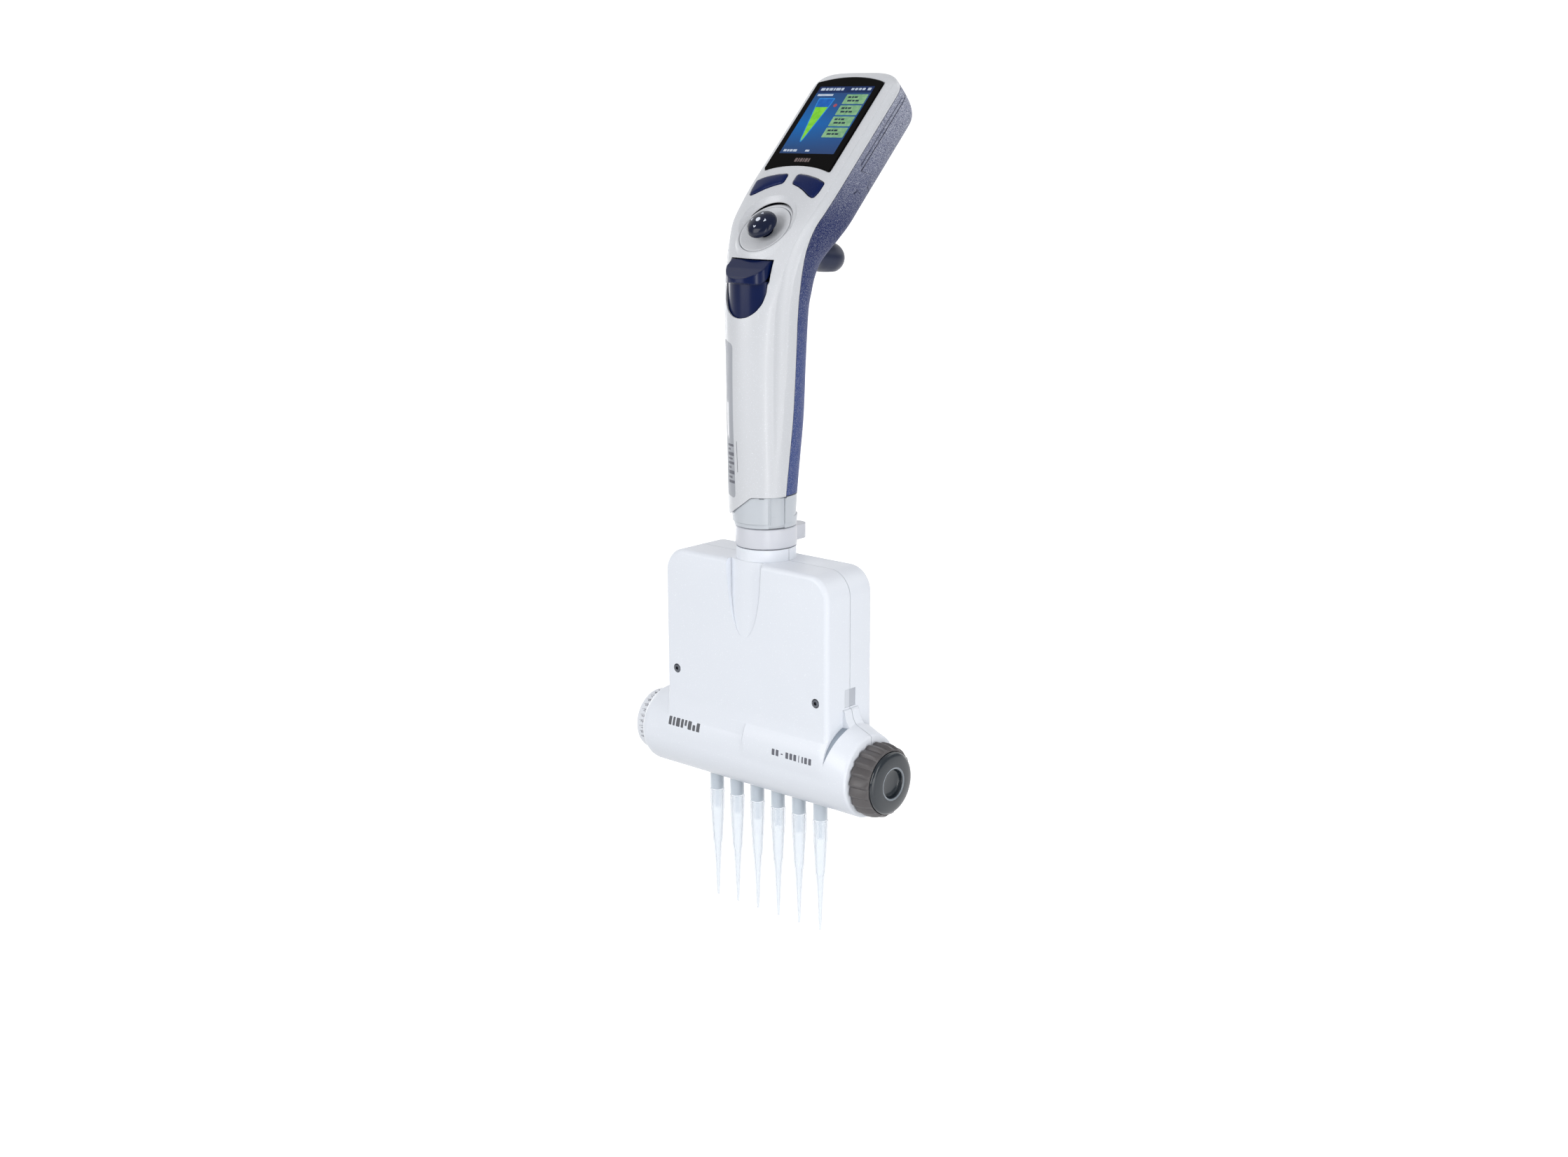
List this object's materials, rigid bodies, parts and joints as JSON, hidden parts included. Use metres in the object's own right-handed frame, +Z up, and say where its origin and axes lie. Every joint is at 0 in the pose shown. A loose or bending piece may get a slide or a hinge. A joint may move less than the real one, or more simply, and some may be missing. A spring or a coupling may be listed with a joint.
{
  "type": "multichannel electronic pipette",
  "caption": "Handheld electronic pipette: bent grip with tilted display head and joystick over a swivelling manifold whose nozzles spread and close with a side knob",
  "frame": {"origin": "middle of the flat underside of the finger hook, where the pipette hangs; the swivel axis of the manifold is the line x=0, y=-0.0375 m, and the tip points are at z=-0.276 m", "axes": "+Z up along the swivel axis, X along the row of nozzles with the spacing knob at +X, front (display and joystick) towards -Y"},
  "size_m": [0.1358, 0.0917, 0.3568],
  "materials": {
    "white_shell": "satin pearl white moulding",
    "slate_shell": "fine-flecked slate blue moulding",
    "navy": "glossy navy",
    "hook": "smooth dark navy grey",
    "manifold_white": "satin cool white moulding",
    "black_glass": "glossy black window",
    "screen": "lit colour display",
    "board": "green circuit board",
    "pack": "shrink-wrapped cell",
    "metal": "machined steel",
    "dark_screw": "blackened screw",
    "rubber": "moulded rubber grip",
    "cap_gloss": "glossy blue grey",
    "dial": "satin white dial",
    "inner_plastic": "natural engineering plastic",
    "carriage": "pale blue grey plastic",
    "tip": "clear frosted polypropylene",
    "hose": "translucent tubing"
  },
  "bodies": {
    "handle": {"front_shell": "white_shell", "rear_shell": "slate_shell", "battery_pack": "pack", "main_board": "board", "display_module": "screen", "display_window": "black_glass", "joystick_dish": "white_shell", "drive_motor": "metal", "inner_chassis": "metal", "nose_piece": "white_shell", "shell_screw_1": "metal", "shell_screw_2": "metal", "ejector_spring": "metal", "finger_hook": "hook"},
    "battery_cover": {"battery_door": "slate_shell"},
    "left_key": {"soft_key_left": "navy"},
    "right_key": {"soft_key_right": "navy"},
    "gimbal": {"joystick_gimbal": "inner_plastic"},
    "joystick": {"joystick_cap": "navy"},
    "ejector": {"ejector_button": "navy", "ejector_rod": "metal"},
    "trigger": {"trigger": "navy"},
    "latch": {"latch_tab": "white_shell"},
    "screw": {"drive_screw": "metal"},
    "plunger": {"plunger_rod": "metal"},
    "manifold": {"front_housing": "manifold_white", "rear_housing": "manifold_white", "swivel_collar": "manifold_white", "cylinder_block": "inner_plastic", "housing_screw_1": "dark_screw", "housing_screw_2": "dark_screw", "bearing_left": "metal", "bearing_right": "metal", "guide_rail_front": "metal", "guide_rail_rear": "metal", "hose_ribbon": "hose"},
    "pistons": {"piston_rack": "metal"},
    "stripper": {"stripper_frame": "metal"},
    "spacer": {"cam_drum": "metal", "spacing_knob": "rubber", "knob_cap": "cap_gloss", "index_dial": "dial"},
    "channel_1": {"nozzle_carriage_1": "carriage"},
    "ejected_1": {"ejector_sleeve_1": "carriage", "tip_1": "tip"},
    "channel_2": {"nozzle_carriage_2": "carriage"},
    "ejected_2": {"ejector_sleeve_2": "carriage", "tip_2": "tip"},
    "channel_3": {"nozzle_carriage_3": "carriage"},
    "ejected_3": {"ejector_sleeve_3": "carriage", "tip_3": "tip"},
    "channel_4": {"nozzle_carriage_4": "carriage"},
    "ejected_4": {"ejector_sleeve_4": "carriage", "tip_4": "tip"},
    "channel_5": {"nozzle_carriage_5": "carriage"},
    "ejected_5": {"ejector_sleeve_5": "carriage", "tip_5": "tip"},
    "channel_6": {"nozzle_carriage_6": "carriage"},
    "ejected_6": {"ejector_sleeve_6": "carriage", "tip_6": "tip"}
  },
  "joints": [
    {"name": "battery_door_slide", "type": "slide", "parent": "handle", "child": "battery_cover", "axis": [0, 0.7034, 0.7108], "range_m": [0, 0.02]},
    {"name": "left_key_press", "type": "slide", "parent": "handle", "child": "left_key", "axis": [0, 0.7108, -0.7034], "range_m": [0, 0.0008]},
    {"name": "right_key_press", "type": "slide", "parent": "handle", "child": "right_key", "axis": [0, 0.7108, -0.7034], "range_m": [0, 0.0008]},
    {"name": "joystick_tilt_front_back", "type": "hinge", "parent": "handle", "child": "gimbal", "pos_m": [0, -0.03429, 0.01629], "axis": [1, 0, 0], "range_deg": [-8, 8]},
    {"name": "joystick_tilt_sideways", "type": "hinge", "parent": "gimbal", "child": "joystick", "pos_m": [0, -0.03429, 0.01629], "axis": [0, 0.7071, 0.7071], "range_deg": [-8, 8]},
    {"name": "ejector_press", "type": "slide", "parent": "handle", "child": "ejector", "axis": [0, 0, -1], "range_m": [0, 0.005], "deforming": ["ejector_spring"]},
    {"name": "trigger_pull", "type": "hinge", "parent": "handle", "child": "trigger", "pos_m": [0, -0.02, -0.005], "axis": [-1, 0, 0], "range_deg": [0, 4]},
    {"name": "latch_press", "type": "slide", "parent": "handle", "child": "latch", "axis": [0, -1, 0], "range_m": [0, 0.0005]},
    {"name": "plunger_stroke", "type": "slide", "parent": "handle", "child": "plunger", "axis": [0, 0, -1], "range_m": [0, 0.016]},
    {"name": "drive_screw_spin", "type": "hinge", "parent": "handle", "child": "screw", "pos_m": [0, -0.0375, -0.086], "axis": [0, 0, 1], "range_deg": [0, 1440]},
    {"name": "manifold_swivel", "type": "hinge", "parent": "handle", "child": "manifold", "pos_m": [0, -0.0375, -0.108], "axis": [0, 0, 1], "continuous": true},
    {"name": "piston_stroke", "type": "slide", "parent": "manifold", "child": "pistons", "axis": [0, 0, -1], "range_m": [0, 0.016]},
    {"name": "stripper_stroke", "type": "slide", "parent": "manifold", "child": "stripper", "axis": [0, 0, -1], "range_m": [0, 0.005]},
    {"name": "spacing_turn", "type": "hinge", "parent": "manifold", "child": "spacer", "pos_m": [0, -0.0375, -0.2008], "axis": [1, 0, 0], "range_deg": [-90, 210]},
    {"name": "spacing_slide_1", "type": "slide", "parent": "manifold", "child": "channel_1", "axis": [1, 0, 0], "range_m": [-0.0175, 0.0075]},
    {"name": "spacing_slide_2", "type": "slide", "parent": "manifold", "child": "channel_2", "axis": [1, 0, 0], "range_m": [-0.0105, 0.0045]},
    {"name": "spacing_slide_3", "type": "slide", "parent": "manifold", "child": "channel_3", "axis": [1, 0, 0], "range_m": [-0.0035, 0.0015]},
    {"name": "spacing_slide_4", "type": "slide", "parent": "manifold", "child": "channel_4", "axis": [1, 0, 0], "range_m": [-0.0015, 0.0035]},
    {"name": "spacing_slide_5", "type": "slide", "parent": "manifold", "child": "channel_5", "axis": [1, 0, 0], "range_m": [-0.0045, 0.0105]},
    {"name": "spacing_slide_6", "type": "slide", "parent": "manifold", "child": "channel_6", "axis": [1, 0, 0], "range_m": [-0.0075, 0.0175]},
    {"name": "eject_slide_1", "type": "slide", "parent": "channel_1", "child": "ejected_1", "axis": [0, 0, -1], "range_m": [0, 0.005]},
    {"name": "eject_slide_2", "type": "slide", "parent": "channel_2", "child": "ejected_2", "axis": [0, 0, -1], "range_m": [0, 0.005]},
    {"name": "eject_slide_3", "type": "slide", "parent": "channel_3", "child": "ejected_3", "axis": [0, 0, -1], "range_m": [0, 0.005]},
    {"name": "eject_slide_4", "type": "slide", "parent": "channel_4", "child": "ejected_4", "axis": [0, 0, -1], "range_m": [0, 0.005]},
    {"name": "eject_slide_5", "type": "slide", "parent": "channel_5", "child": "ejected_5", "axis": [0, 0, -1], "range_m": [0, 0.005]},
    {"name": "eject_slide_6", "type": "slide", "parent": "channel_6", "child": "ejected_6", "axis": [0, 0, -1], "range_m": [0, 0.005]}
  ],
  "couplings": [
    {"joint": "drive_screw_spin", "follows": "plunger_stroke", "rad_per_m": 1570.8},
    {"joint": "piston_stroke", "follows": "plunger_stroke", "ratio": 1},
    {"joint": "stripper_stroke", "follows": "ejector_press", "ratio": 1},
    {"joint": "spacing_slide_1", "follows": "spacing_turn", "m_per_rad": -0.0047746},
    {"joint": "spacing_slide_2", "follows": "spacing_turn", "m_per_rad": -0.0028648},
    {"joint": "spacing_slide_3", "follows": "spacing_turn", "m_per_rad": -0.00095493},
    {"joint": "spacing_slide_4", "follows": "spacing_turn", "m_per_rad": 0.00095493},
    {"joint": "spacing_slide_5", "follows": "spacing_turn", "m_per_rad": 0.0028648},
    {"joint": "spacing_slide_6", "follows": "spacing_turn", "m_per_rad": 0.0047746},
    {"joint": "eject_slide_1", "follows": "ejector_press", "ratio": 1},
    {"joint": "eject_slide_2", "follows": "ejector_press", "ratio": 1},
    {"joint": "eject_slide_3", "follows": "ejector_press", "ratio": 1},
    {"joint": "eject_slide_4", "follows": "ejector_press", "ratio": 1},
    {"joint": "eject_slide_5", "follows": "ejector_press", "ratio": 1},
    {"joint": "eject_slide_6", "follows": "ejector_press", "ratio": 1}
  ]
}
